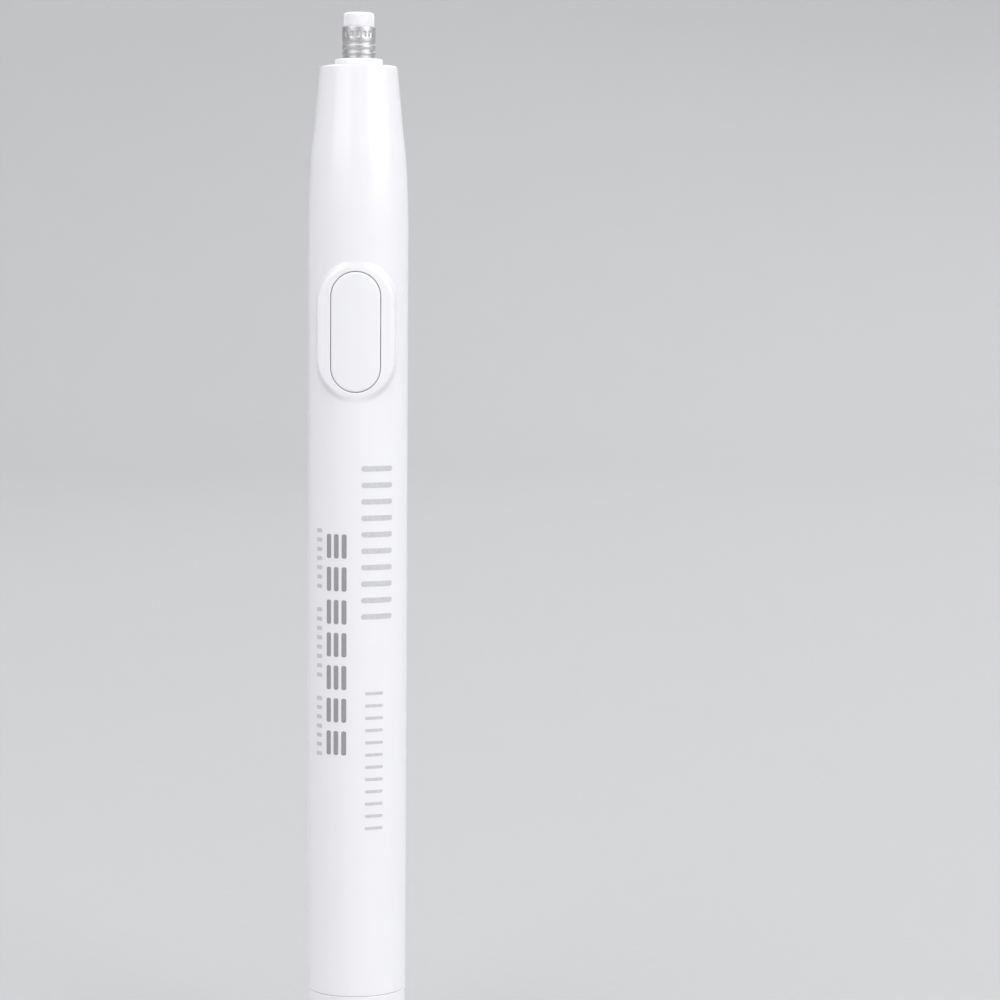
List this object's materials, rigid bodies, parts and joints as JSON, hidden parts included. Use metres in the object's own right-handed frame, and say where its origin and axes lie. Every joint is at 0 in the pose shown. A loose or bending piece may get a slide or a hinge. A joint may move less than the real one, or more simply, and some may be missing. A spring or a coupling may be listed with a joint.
{
  "type": "electric eraser",
  "caption": "Pen-shaped battery electric eraser: tapered barrel with a push button, pull-off battery cap, motor-driven chuck with a metal ferrule and a round refill.",
  "frame": {"origin": "centre of the battery cap's flat end face, on the pen's axis, where the eraser stands", "axes": "+Z along the pen's axis from the cap towards the eraser tip; the push button faces -Y; +X to the right of the button"},
  "size_m": [0.0156, 0.0159, 0.1675],
  "materials": {
    "barrel_white": "glossy moulded ABS, white with a faint cool tint",
    "button_white": "satin moulded ABS, very slightly greyer than the barrel",
    "acetal_white": "smooth acetal, natural white",
    "frame_plastic": "satin moulded ABS, pale grey",
    "nylon": "black glass-filled nylon",
    "nickel": "bright nickel plate with fine drawn lines",
    "steel": "zinc-plated pressed steel",
    "spring_steel": "drawn spring wire",
    "brass": "stamped spring brass",
    "bronze": "oil-filled sintered bronze, matt",
    "copper": "enamelled winding wire and turned copper",
    "ferrite": "moulded ferrite, matt charcoal",
    "carbon": "pressed carbon",
    "cell_wrap": "printed film wrap round a plated steel can",
    "red_wire": "soft PVC insulation",
    "black_wire": "soft PVC insulation",
    "eraser_rubber": "white vinyl eraser, matt, faintly dusty"
  },
  "bodies": {
    "cap": {"rear_cap": "barrel_white", "cap_contact_plate": "nickel", "cap_spring": "spring_steel"},
    "barrel": {"barrel_shell": "barrel_white", "front_bush": "bronze", "inner_frame": "frame_plastic", "front_contact": "nickel", "return_strip": "nickel", "battery_rear": "cell_wrap", "battery_front": "cell_wrap", "switch_fixed_contact": "brass", "wire_red": "red_wire", "wire_black": "black_wire", "motor_can": "steel", "motor_end_bell": "nylon", "motor_front_bearing": "bronze", "motor_rear_bearing": "bronze", "terminal_positive": "brass", "terminal_negative": "brass", "brush_positive": "carbon", "brush_negative": "carbon", "magnet_right": "ferrite", "magnet_left": "ferrite"},
    "button": {"button": "button_white"},
    "switch_leaf": {"switch_leaf": "brass"},
    "rotor": {"motor_shaft": "steel", "rotor_core": "steel", "winding_1": "copper", "winding_2": "copper", "winding_3": "copper", "commutator": "copper", "spindle_hub": "acetal_white", "ferrule": "nickel"},
    "refill": {"eraser_refill": "eraser_rubber"}
  },
  "joints": [
    {"name": "cap_pull", "type": "slide", "parent": "cap", "child": "barrel", "axis": [0, 0, 1], "range_m": [0, 0.02]},
    {"name": "button_press", "type": "slide", "parent": "barrel", "child": "button", "axis": [0, 1, 0], "range_m": [0, 0.0008], "stiffness_N_per_m": 700, "springref_m": -0.0004},
    {"name": "switch_leaf_flex", "type": "hinge", "parent": "barrel", "child": "switch_leaf", "pos_m": [0, -0.00358, 0.1035], "axis": [-1, 0, 0], "range_deg": [0, 3.7]},
    {"name": "rotor_spin", "type": "hinge", "parent": "barrel", "child": "rotor", "pos_m": [0, 0, 0.15], "axis": [0, 0, 1], "continuous": true},
    {"name": "refill_feed", "type": "slide", "parent": "rotor", "child": "refill", "axis": [0, 0, 1], "range_m": [0, 0.018]}
  ],
  "couplings": [
    {"joint": "switch_leaf_flex", "follows": "button_press", "rad_per_m": 80}
  ]
}
